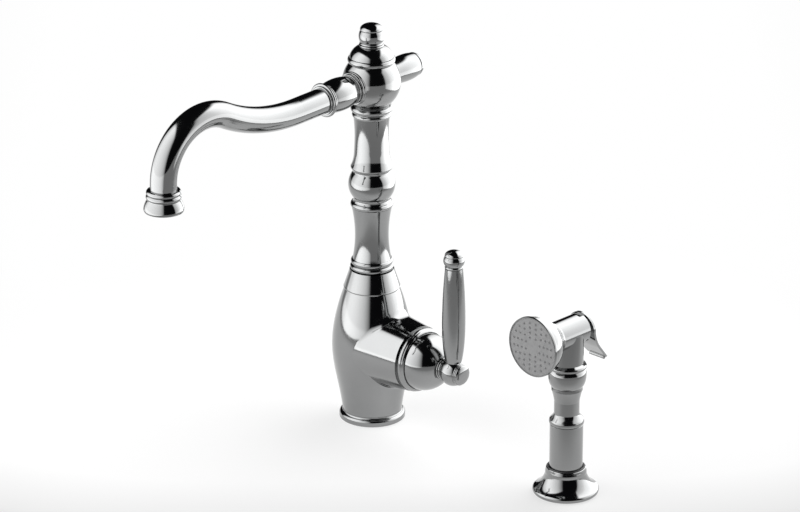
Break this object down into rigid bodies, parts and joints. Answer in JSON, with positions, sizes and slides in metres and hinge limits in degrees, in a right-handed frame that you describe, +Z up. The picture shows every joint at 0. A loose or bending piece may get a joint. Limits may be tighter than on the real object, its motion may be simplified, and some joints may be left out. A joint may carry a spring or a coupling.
{
  "type": "kitchen faucet with side spray",
  "caption": "Traditional single-post kitchen faucet: vase body, turned column, swivelling S-curved spout, side lever, and a separate pull-out side spray in its flared holder.",
  "frame": {"origin": "on the deck, at the centre of the opening in the faucet's foot", "axes": "+Z up along the column; the spout and the spray face point to -Y; the lever and the side spray are on the +X side"},
  "size_m": [0.2899, 0.3165, 0.3609],
  "materials": {
    "chrome": "polished",
    "rubber": "matte",
    "brass": "machined",
    "copper": "drawn tube",
    "steel": "turned",
    "dark_plastic": "matte",
    "grey_plastic": "matte"
  },
  "bodies": {
    "faucet": {"deck_gaskets": "rubber", "base_ring": "chrome", "inlet_plate": "brass", "stud_boss": "brass", "hose_inlets": "brass", "spray_outlet": "brass", "main_body": "chrome", "supply_tubes": "copper", "body_cap": "chrome", "lower_column": "chrome", "column_ring": "chrome", "column_ball": "chrome", "upper_column": "chrome", "column_collar": "chrome", "riser_tube": "brass", "swivel_nut": "brass", "handle_housing": "chrome", "housing_ring": "chrome", "socket_ring": "chrome", "cartridge_body": "grey_plastic", "cartridge_nut": "brass", "holder_flange": "chrome", "holder_liner": "dark_plastic"},
    "spout": {"hub": "chrome", "hub_dome": "chrome", "finial": "chrome", "swivel_bushes": "dark_plastic", "swivel_seals": "rubber", "stop_pin": "steel", "rear_knob": "chrome", "rear_knob_cap": "chrome", "spout_collar": "chrome", "spout_connector": "chrome", "spout_bead_ring": "chrome", "spout_tube": "chrome", "outlet_collar": "chrome", "outlet_bell": "chrome", "aerator": "grey_plastic"},
    "turret": {"stem_turret": "steel", "stem_pin": "steel"},
    "handle": {"handle_stem": "steel", "handle_dome": "chrome", "handle_hub": "chrome", "hub_end_cap": "chrome", "lever": "chrome", "lever_finial": "chrome", "set_screw": "steel"},
    "hose_end": {"hose_connector": "brass"},
    "handset": {"spray_grip": "chrome", "spray_shoulder": "chrome", "spray_cup": "chrome", "inner_tube": "brass", "swivel_socket": "dark_plastic", "spray_head": "chrome", "spray_face": "grey_plastic", "valve_seat": "rubber", "trigger_pin": "steel", "valve_spring": "steel"},
    "trigger": {"trigger_lever": "chrome"},
    "valve": {"valve_stem": "steel"}
  },
  "joints": [
    {"name": "spout_swivel", "type": "hinge", "parent": "faucet", "child": "spout", "pos_m": [0, 0, 0.3091], "axis": [0, 0, 1], "range_deg": [-60, 60]},
    {"name": "temperature_turn", "type": "hinge", "parent": "faucet", "child": "turret", "pos_m": [0, 0, 0.0696], "axis": [1, 0, 0], "range_deg": [-45, 45]},
    {"name": "flow_tilt", "type": "hinge", "parent": "turret", "child": "handle", "pos_m": [0.0626, 0, 0.0696], "axis": [0, 1, 0], "range_deg": [0, 20]},
    {"name": "spray_lift", "type": "slide", "parent": "faucet", "child": "hose_end", "axis": [0, 0, 1], "range_m": [0, 0.12]},
    {"name": "spray_turn", "type": "hinge", "parent": "hose_end", "child": "handset", "pos_m": [0.227, 0, 0.02], "axis": [0, 0, 1], "continuous": true},
    {"name": "trigger_press", "type": "hinge", "parent": "handset", "child": "trigger", "pos_m": [0.227, 0.012, 0.1546], "axis": [-1, 0, 0], "range_deg": [0, 9], "stiffness_Nm_per_rad": 0.4, "springref_deg": -6.88},
    {"name": "valve_push", "type": "slide", "parent": "handset", "child": "valve", "axis": [0, -1, 0], "range_m": [0, 0.0017], "deforming": ["valve_spring"]}
  ],
  "couplings": [
    {"joint": "valve_push", "follows": "trigger_press", "m_per_rad": 0.0105}
  ]
}
